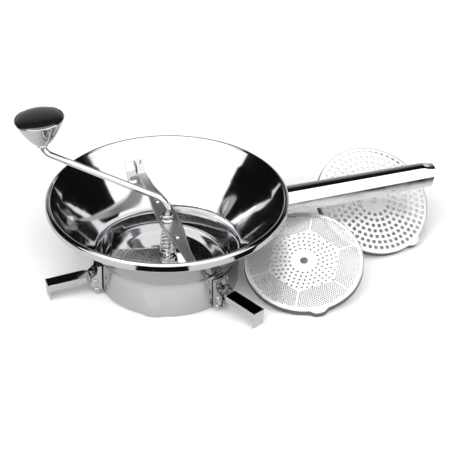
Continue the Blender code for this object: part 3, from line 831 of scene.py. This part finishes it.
def make_leg(node, place):
    """A pressed leg drawn level on +X, its pivot at the origin: an inverted channel, two lugs, a turned-down
    tip with a row of teeth."""
    w, t, top = LEG_W / 2, LEG_T, 6.4
    root = 4.6
    rings = []
    for x, k in ((root, 0.78), (root + 1.6, 0.83), (root + 3.4, 0.96), (root + 5.0, 1.0), (LEG_LEN, 1.0)):
        y = w * k
        out = rounded([(-y, top - LEG_H), (-y, top), (y, top), (y, top - LEG_H)], (0, 0.9, 0.9, 0), 4)
        inn = [(y - t, top - LEG_H), (y - t, top - t), (-y + t, top - t), (-y + t, top - LEG_H)]
        rings.append([(x, p, z) for p, z in out + inn])
    lug = [(root + 0.6, top - LEG_H + 1.3), (root + 0.6, top - 2.0), (1.0, 3.6), (-3.2, 1.6), (-3.2, -1.8),
           (1.9, -5.0), (1.9, -11.6), (4.2, -11.6), (5.0, -4.0)]
    lug = rounded(lug, (0, 0, 1.6, 1.2, 1.2, 1.0, 0.4, 0.4, 1.0), 4, closed=True)
    eye = circle(PIN_HOLE_R, 24)
    lugs = [upright(lug, y, y + t, [eye]) for y in (w * 0.78 - t + 0.15, -w * 0.78 - 0.15)]
    ribs, teeth, steps = [], 6, 60
    for k in range(steps + 1):
        y = -w + LEG_W * k / steps
        ribs.append((LEG_LEN + 0.55 + 0.45 * abs(math.sin(math.pi * teeth * k / steps)), y))
    tip = prism([(LEG_LEN - 0.4, -w), *ribs, (LEG_LEN - 0.4, w)], -10.4, top - 0.1)
    piece(node, fused(f"{node}_finished", skin(rings), [*lugs, tip]), PRESSED, place=place, bevel=0.22)


def make_legs():
    for i, at in enumerate(LEG_AT, 1):
        about = turned(at)
        pivot = about @ shifted(PIVOT_R, 0, PIVOT_Z)
        make_bracket(f"leg_bracket_{i}", about)
        piece(f"leg_pivot_pin_{i}", pin_mesh(3.0), TURNED, place=pivot)
        piece(f"leg_stop_pin_{i}", pin_mesh(3.3), TURNED, place=about @ shifted(STOP_R, 0, STOP_Z))
        make_leg(f"leg_{i}", pivot @ Matrix.Rotation(math.radians(LEG_DROOP), 4, "Y"))


# ---------------------------------------------------------------- crossbar
def bar_half_width(y):
    return BAR_END_W / 2 + (BAR_MID_W - BAR_END_W) / 2 * (1 - smooth((abs(y) - 8) / 62))


def make_crossbar():
    """A strip with turned-up edges, a hooked tab at each end and a forked tongue."""
    ys = [0, 4, *range(8, 72, 4), 78, 86]
    one = [(-bar_half_width(y), -y) for y in ys] + [(-BAR_END_W / 2, -BAR_END)]
    one += [(TAB[1] - 0.8, -BAR_END), (TAB[1], -BAR_END + 0.8), (TAB[1], -BAR_END + TAB[2] - 0.8),
            (TAB[1] - 0.8, -BAR_END + TAB[2]), (TAB[0] + 0.5, -BAR_END + TAB[2])]
    one += [(bar_half_width(y), -y) for y in reversed(ys[1:-1])]
    outline = one + [(-x, -y) for x, y in one]
    rivets = [circle(PIN_HOLE_R, 24, 0, s * RIVET_Y) for s in (1, -1)]
    strip = prism(outline, -BAR_T, 0.0, [circle(BUSH_R + GAP, 48), *rivets])
    lips = []
    stations = sorted([v for v in ys if v < 80] + [-v for v in ys if 0 < v < 80])
    for s in (1, -1):
        rings = []
        for y in stations:
            w, f = bar_half_width(y), 0.6 + 3.4 * (1 - smooth((abs(y) - 30) / 44))
            section = [(w - 1.1, -0.7), (w + 0.15, -0.7), (w + 0.15, f), (w - 0.47, f + 0.15), (w - 1.1, f)]
            rings.append([(s * x, y, z) for x, z in section])
        lips.append(skin(rings))
    fork = [(-4.3, -0.6), (4.3, -0.6), (3.2, 8.5), (4.6, 15.5), (2.7, 16.3), (1.1, 10.5),
            (-1.1, 10.5), (-2.7, 16.3), (-4.6, 15.5), (-3.2, 8.5)]
    fork = rounded(fork, (0, 0, 3.0, 0.6, 0.6, 0.8, 0.8, 0.6, 0.6, 3.0), 4, closed=True)
    tongue = upright(fork, -0.6, 0.6)
    tongue.transform(shifted(0, BAR_END - 1.2, -0.9) @ Matrix.Rotation(math.radians(-38), 4, "X"))
    place = shifted(0, 0, BAR_Z)
    bar = fused("crossbar_finished", strip, [*lips, tongue])
    piece("crossbar", bar, SATIN, place=place, bevel=0.22)

    bush = [(BORE_R, -6.5), (BUSH_R, -6.5), (BUSH_R, GAP), (7.9, GAP),
            (7.9, 1.5), (6.4, 2.1), (5.6, 6.5), (BORE_R, 6.5)]
    bush = rounded(bush, (0.2, 0.4, 0.1, 0.2, 0.4, 0.5, 0.4, 0.3), 4, closed=True)
    piece("crossbar_bush", revolve(bush, 72), TURNED, place=place)
    low = -BAR_T - GAP
    plate = [(-6.8, -41), (6.8, -41), (8.0, 0), (6.8, 41), (-6.8, 41), (-8.0, 0)]
    plate = rounded(plate, (2, 2, 9, 2, 2, 9), 5, closed=True)
    doubler = prism(plate, low - 1.2, low, [circle(BUSH_R + GAP, 48), *rivets])
    piece("crossbar_doubler", doubler, PRESSED, place=place, bevel=0.2)
    under = low - 1.2 - GAP
    head = [(3.3 * math.cos(k), GAP + 0.2 + 1.4 * math.sin(k)) for k in (1.35, 1.1, 0.8, 0.5, 0.2, 0.0)]
    foot = [(3.1 * math.cos(k), under - 0.2 - 0.7 * math.sin(k)) for k in (0.0, 0.4, 0.8, 1.2)]
    shank = [(3.1, GAP), (1.5, GAP), (1.5, under), (3.0, under)]
    profile = [(0.0, 1.9), *head, *shank, *foot, (0.0, under - 0.95)]
    for node, s in (("crossbar_rivet_front", -1), ("crossbar_rivet_rear", 1)):
        piece(node, lathe(profile, 40), TURNED, place=shifted(0, s * RIVET_Y, BAR_Z))


def make_catches():
    """A hook on the cone at each end of the bar, over the tab and closed on its far side."""
    x0, x1 = -14.6, -5.6
    roof = BAR_Z + 0.6

    def wall(z, depth):
        return cone_in(z) - 1.5 - depth

    side = [(84.0, roof), (wall(roof, 1.5), roof), (wall(62, 1.5), 62), (wall(62, 0), 62),
            (wall(79, 0), 79), (wall(79, 1.5), 79), (wall(roof + 1.3, 1.5), roof + 1.3), (84.0, roof + 1.3)]
    foot = BAR_Z - 3.4
    cheek = [(84.6, foot), (wall(foot, 0.4), foot), (wall(roof, 0.4), roof + 0.9), (84.6, roof + 0.9)]
    for node, turn in (("crossbar_catch_rear", 0), ("crossbar_catch_front", 180)):
        body = upright(side, x0, x1, turn=TO_YZ)
        closed = upright(cheek, x0 + 0.1, x0 + 1.3, turn=TO_YZ)
        piece(node, fused(f"{node}_finished", body, [closed]), PRESSED, place=turned(turn), bevel=0.25)


# ---------------------------------------------------------------- crank
LEAN = Matrix.Rotation(math.radians(KNOB_LEAN), 4, "Y")


def make_crank():
    """The bent rod, and the knob on its leaning stem: ferrule, steel shell and black domed cap."""
    stem_end = shifted(CRANK_R, 0, CRANK_Z1) @ LEAN @ Vector((0, 0, STEM))
    low, bend1, bend2 = Vector((0, 0, 13.0)), Vector((0, 0, CRANK_Z0)), Vector((CRANK_R, 0, CRANK_Z1))
    path = [low, Vector((0, 0, 30)), Vector((0, 0, 60)), *corner(low, bend1, bend2, 13.0, 20)]
    path += [*corner(bend1, bend2, stem_end, 11.0, 20), stem_end]
    piece("crank_rod", tube(path, ROD_R, 36, nose=0.5), ROD, place=turned(CRANK_AT))

    place = turned(CRANK_AT) @ shifted(CRANK_R, 0, CRANK_Z1) @ LEAN
    ferrule = [(3.65, 6.6), (5.0, 6.6), (5.6, 8.0), (5.0, 9.6), (3.65, 9.6)]
    ferrule = rounded(ferrule, (0.2, 0.5, 0.8, 0.5, 0.2), 4, closed=True)
    piece("knob_ferrule", revolve(ferrule, 64), TURNED, place=place)
    base, top = 9.9, 9.9 + KNOB_DEPTH - 4.0
    count = 22
    outer = [(4.0, base), (5.8, base), (6.2, base + 0.2)]
    for k in range(1, count + 1):
        s = k / count
        outer.append((6.2 + (KNOB_R - 6.2) * s ** 0.86, base + 0.2 + (top - base - 0.2) * s ** 1.25))
    inner = offset_path(outer, 1.0)
    inner[0], inner[-1] = (4.0, base + 1.0), (KNOB_R - 1.0, top)
    inner = [p for p in inner if p[1] >= base + 1.0]
    lip = [(KNOB_R + x, top + z) for x, z in ((0.3, 0.5), (0.35, 1.1), (0.1, 1.7), (-0.35, 1.95),
                                              (-0.8, 1.7), (-0.95, 1.2))]
    piece("knob_shell", revolve(outer + lip + list(reversed(inner)), 128), TURNED, place=place)
    rim, cap_r = 1.5, KNOB_R - 1.25
    cap = [(0.0, top - 5.0), (3.8, top - 5.0), (3.8, base + 4.5), (6.0, base + 4.5), (6.0, top - 1.6),
           (KNOB_R - 3.6, top - 1.6), (cap_r, top + GAP), (cap_r, top + rim)]
    steps = 24
    for k in range(1, steps + 1):
        a = 0.5 * math.pi * k / steps
        r = cap_r * math.cos(a) ** 0.94 if k < steps else 0.0
        cap.append((r, top + rim + (CAP_H - rim) * math.sin(a)))
    piece("knob_cap", lathe(cap, 128), BLACK, place=place)


def make_shaft_parts():
    """The hub and washers on the shaft, and the conical spring that presses the blade down."""
    washer = rounded([(BORE_R, 0.0), (7.4, 0.0), (7.4, 0.9), (BORE_R, 0.9)], 0.2, 3, closed=True)
    piece("spring_washer", revolve(washer, 64), TURNED, place=shifted(0, 0, corners("spring_washer")[0].z))
    hub = [(BORE_R, 18.2), (9.4, 18.2), (9.4, 20.0), (8.0, 21.2), (8.0, HUB_TOP), (BORE_R, HUB_TOP)]
    hub = rounded(hub, (0.2, 0.3, 0.6, 0.8, 0.9, 0.3), 4, closed=True)
    piece("blade_hub", revolve(hub, 72), TURNED)
    thrust = rounded([(BORE_R, 0.0), (8.8, 0.0), (8.8, 0.8), (BORE_R, 0.8)], 0.2, 3, closed=True)
    piece("thrust_washer", revolve(thrust, 64), TURNED, place=shifted(0, 0, corners("thrust_washer")[0].z))

    wire, turns, per = 0.85, 6.5, 40
    low = corners("thrust_washer")[1].z + GAP + wire
    top = corners("spring_washer")[0].z - GAP - wire
    path = []
    count = int(turns * per)
    for k in range(count + 1):
        s = k / count
        rise = smooth(s / 0.1) * 0.08 + s * 0.84 + smooth((s - 0.9) / 0.1) * 0.08
        a, r = 2 * math.pi * turns * s, 8.0 - 2.6 * s
        path.append((r * math.cos(a), r * math.sin(a), low + (top - low) * rise))
    spring = piece("shaft_spring", tube(path, wire, 12), WIRE)
    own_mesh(spring)


def make_blade():
    """A helical wing that starts close over the disc and rises as it goes round, with a stiffening rib
    pressed along it and a rounded outer edge."""
    count, across = 120, 22
    root_r, rib_r, rib_w, rib_h = 9.8, 42.0, 4.0, 0.5
    rings = []
    for k in range(count + 1):
        s = k / count
        a = math.radians(BLADE_FROM + BLADE_SWEEP * s)
        outer_r = BLADE_R - 5.0 * s * s
        z = DISC_Z + GAP + 0.3 + BLADE_RISE * s ** 1.1
        ends = smooth(s / 0.08) * smooth((1 - s) / 0.08)
        high, low = [], []
        for i in range(across + 1):
            t = i / across
            r = root_r + (outer_r - root_r) * t
            rib = rib_h * ends * math.exp(-((r - rib_r) / rib_w) ** 2)
            h = z + 1.0 * (1 - t) + rib
            edge = 0.35 * max(0.0, (t - 0.97) / 0.03)
            high.append((r * math.cos(a), r * math.sin(a), h + BLADE_T - edge))
            low.append((r * math.cos(a), r * math.sin(a), h + edge))
        rings.append(high + list(reversed(low)))
    piece("mill_blade", skin(rings), BLADE)


# ---------------------------------------------------------------- studio
CAMERA_AZIMUTH, CAMERA_ELEVATION = -18.0, 33.18
CAMERA_DISTANCE, CAMERA_LENS = 2.5, 200.7
AIM_HEIGHT, AIM_RIGHT, AIM_UP = 0.045, 0.05775, 0.01416

# Where the studio's lights fade in or out, in degrees from straight ahead or, for roofs and tops, above the
# horizon
TENT_EDGE, REAR_EDGE, SOFT_EDGE = (82.0, 84.0), (136.0, 150.0), (60.0, 85.0)
ROOF_EDGE, SOFT_ROOF_EDGE = (55.0, 58.0), (72.0, 84.0)
TENT_TOP, HORIZON_TOP = 52.0, 34.0

# Their strengths
TENT_LOW_LIGHT, TENT_HIGH_LIGHT, HORIZON_LIGHT, DARK, BACKDROP = 1.30, 1.75, 0.85, 0.006, 0.96
SOFT_LIGHT, SOFT_DARK = 3.1, 0.05

# How far the cards lie above, and the floor below, the lowest point of the part
CARD_LIFT, FLOOR_DROP = 0.0004, 0.0002

# The soft box: its sides, power, place in front, to the left and up, and what it faces
BOX_SIDES, BOX_WATTS = (1.6, 1.2), 9.0
BOX_FRONT, BOX_LEFT, BOX_UP = 1.1, 0.9, 1.7
BOX_AIM = Vector((0.06, 0, 0.04))


def camera_axes():
    a, e = math.radians(CAMERA_AZIMUTH), math.radians(CAMERA_ELEVATION)
    back = Vector((math.sin(a) * math.cos(e), -math.cos(a) * math.cos(e), math.sin(e)))
    right = Vector((math.cos(a), math.sin(a), 0.0))
    return right, back.cross(right), back


def make_camera():
    right, up, back = camera_axes()
    target = Vector((0, 0, AIM_HEIGHT)) + right * AIM_RIGHT + up * AIM_UP
    data = bpy.data.cameras.new("camera")
    data.lens, data.sensor_width = CAMERA_LENS, 36.0
    data.clip_start, data.clip_end = 0.05, 50.0
    cam = bpy.data.objects.new("camera", data)
    cam.location = target + back * CAMERA_DISTANCE
    cam.rotation_euler = back.to_track_quat("Z", "Y").to_euler()
    bpy.context.scene.collection.objects.link(cam)
    bpy.context.scene.camera = cam


def make_world():
    """A white tent in front and overhead, black at the sides and behind, where it greys towards the
    horizon. Diffuse surfaces get a soft white light from the front and above, and the camera sees a plain
    backdrop."""
    right, _, back = camera_axes()
    front = Vector((back.x, back.y, 0.0)).normalized()
    world = bpy.data.worlds.new("studio")
    bpy.context.scene.world = world
    world.use_nodes = True
    tree = Nodes(world.node_tree)
    way = tree.new("ShaderNodeTexCoord").outputs["Generated"]

    def along(axis):
        node = tree.new("ShaderNodeVectorMath", operation="DOT_PRODUCT")
        tree.link(way, node.inputs[0])
        node.inputs[1].default_value = axis
        return node.outputs["Value"]

    def choose(switch, off, on):
        node = tree.new("ShaderNodeMix", data_type="FLOAT")
        tree.link(switch, node.inputs["Factor"])
        for value, key in ((off, "A"), (on, "B")):
            if isinstance(value, float):
                node.inputs[key].default_value = value
            else:
                tree.link(value, node.inputs[key])
        return node.outputs["Result"]

    ahead, aside, height = along(front), along(right), along((0.0, 0.0, 1.0))
    azimuth = tree.math("DEGREES", tree.math("ARCTAN2", aside, ahead))
    elevation = tree.math("DEGREES", tree.math("ARCSINE", height))
    from_front = tree.math("ABSOLUTE", azimuth)
    tent = tree.spread(from_front, *TENT_EDGE, 1.0, 0.0)
    roof = tree.spread(elevation, *ROOF_EDGE, 0.0, 1.0)
    bright = tree.math("MAXIMUM", tent, roof)
    rear = tree.spread(from_front, *REAR_EDGE, 0.0, 1.0)
    fading = tree.spread(elevation, 0.0, HORIZON_TOP, HORIZON_LIGHT, 0.0, "LINEAR")
    horizon = tree.math("MULTIPLY", fading, rear)
    wall = tree.math("MULTIPLY", horizon, tree.math("SUBTRACT", 1.0, bright))
    rising = tree.spread(elevation, 0.0, TENT_TOP, TENT_LOW_LIGHT, TENT_HIGH_LIGHT, "LINEAR")
    strength = tree.math("MULTIPLY", bright, rising)
    light = tree.math("ADD", strength, tree.math("ADD", wall, DARK))
    rays = tree.new("ShaderNodeLightPath").outputs
    facing = tree.spread(from_front, *SOFT_EDGE, 1.0, 0.0)
    above = tree.spread(elevation, *SOFT_ROOF_EDGE, 0.0, 1.0)
    soft = tree.math("MULTIPLY_ADD", tree.math("MAXIMUM", facing, above), SOFT_LIGHT, SOFT_DARK)
    even = choose(rays["Is Diffuse Ray"], light, soft)
    background = world.node_tree.nodes["Background"]
    background.inputs["Color"].default_value = (1.0, 1.0, 1.0, 1.0)
    tree.link(choose(rays["Is Camera Ray"], even, BACKDROP), background.inputs["Strength"])


def make_flags():
    """Black cards that only show in reflections: three on the ground in front and to the sides, a low one
    standing in front, and one over the right leg."""
    facing = -90.0 + CAMERA_AZIMUTH
    low = cad_box[0].z + CARD_LIFT
    mat, tree, shader = blank("black_card")
    position = tree.new("ShaderNodeTexCoord").outputs["Object"]
    tree.link(tree.spread(tree.noise(position, 300.0), 0.3, 0.7, 0.85, 0.95), shader.inputs["Roughness"])
    shader.inputs["Base Color"].default_value = (0.004, 0.004, 0.004, 1.0)
    shader.inputs["Specular IOR Level"].default_value = 0.0

    def around(first, last, *edges):
        """A strip between two edges, each (radius, height), from one angle to another."""
        rows = [[(r * math.cos(a), r * math.sin(a), z) for r, z in edges]
                for a in (math.radians(facing + first + (last - first) * k / 48) for k in range(49))]
        return [(a[0], a[1], b[1], b[0]) for a, b in zip(rows, rows[1:])]

    right_leg = turned(LEG_AT[2]) @ shifted(PIVOT_R, 0, PIVOT_Z)
    over = shifted(1.9, 4.4, 4.0) @ right_leg @ Matrix.Rotation(math.radians(LEG_DROOP), 4, "Y")
    start, end, half, leg_top = 8, 47, 8, 6.4
    over_leg = [(start, -half), (end, -half), (end, half), (start, half)]
    over_leg = [tuple((over @ Vector((x, y, leg_top))) * MM) for x, y in over_leg]
    to_the_right = [(0.108, -0.168), (1.63, -2.52), (3.0, -2.5), (3.0, -0.142), (0.15, -0.142)]
    to_the_right = [(x, y, low) for x, y in to_the_right]
    cards = ([over_leg],
             around(-21.5, 16.0, (0.185, low), (0.5, low)),
             around(-24.0, 18.0, (0.5, low), (0.5, 0.16)),
             around(-115.0, -66.0, (0.25, low), (3.0, low)),
             [to_the_right])
    for number, faces in enumerate(cards):
        bm = bmesh.new()
        for points in faces:
            bm.faces.new([bm.verts.new(p) for p in points])
        mesh = bpy.data.meshes.new(f"card_{number}")
        bm.to_mesh(mesh)
        bm.free()
        mesh.materials.append(mat)
        card = bpy.data.objects.new(f"card_{number}", mesh)
        bpy.context.scene.collection.objects.link(card)
        card.visible_camera = card.visible_diffuse = card.visible_shadow = card.visible_transmission = False


def make_floor():
    bm = bmesh.new()
    bmesh.ops.create_grid(bm, x_segments=8, y_segments=8, size=6.0)
    mesh = bpy.data.meshes.new("floor")
    bm.to_mesh(mesh)
    bm.free()
    floor = bpy.data.objects.new("floor", mesh)
    floor.location.z = cad_box[0].z - FLOOR_DROP
    mesh.materials.append(floor_material())
    bpy.context.scene.collection.objects.link(floor)


def make_light():
    """A large soft box above and in front, to the left."""
    right, _, back = camera_axes()
    front = Vector((back.x, back.y, 0.0)).normalized()
    data = bpy.data.lights.new("soft_box", "AREA")
    data.shape, data.energy = "RECTANGLE", BOX_WATTS
    data.size, data.size_y = BOX_SIDES
    light = bpy.data.objects.new("soft_box", data)
    light.location = front * BOX_FRONT - right * BOX_LEFT + Vector((0, 0, BOX_UP))
    light.rotation_euler = (light.location - BOX_AIM).to_track_quat("Z", "Y").to_euler()
    bpy.context.scene.collection.objects.link(light)


make_bowl()
make_seat_ring()
make_discs()
make_handle()
make_handle_brace()
make_legs()
make_crossbar()
make_catches()
make_crank()
make_shaft_parts()
make_blade()
make_floor()
make_flags()
make_world()
make_light()
make_camera()
bpy.context.scene.view_settings.view_transform = "Standard"
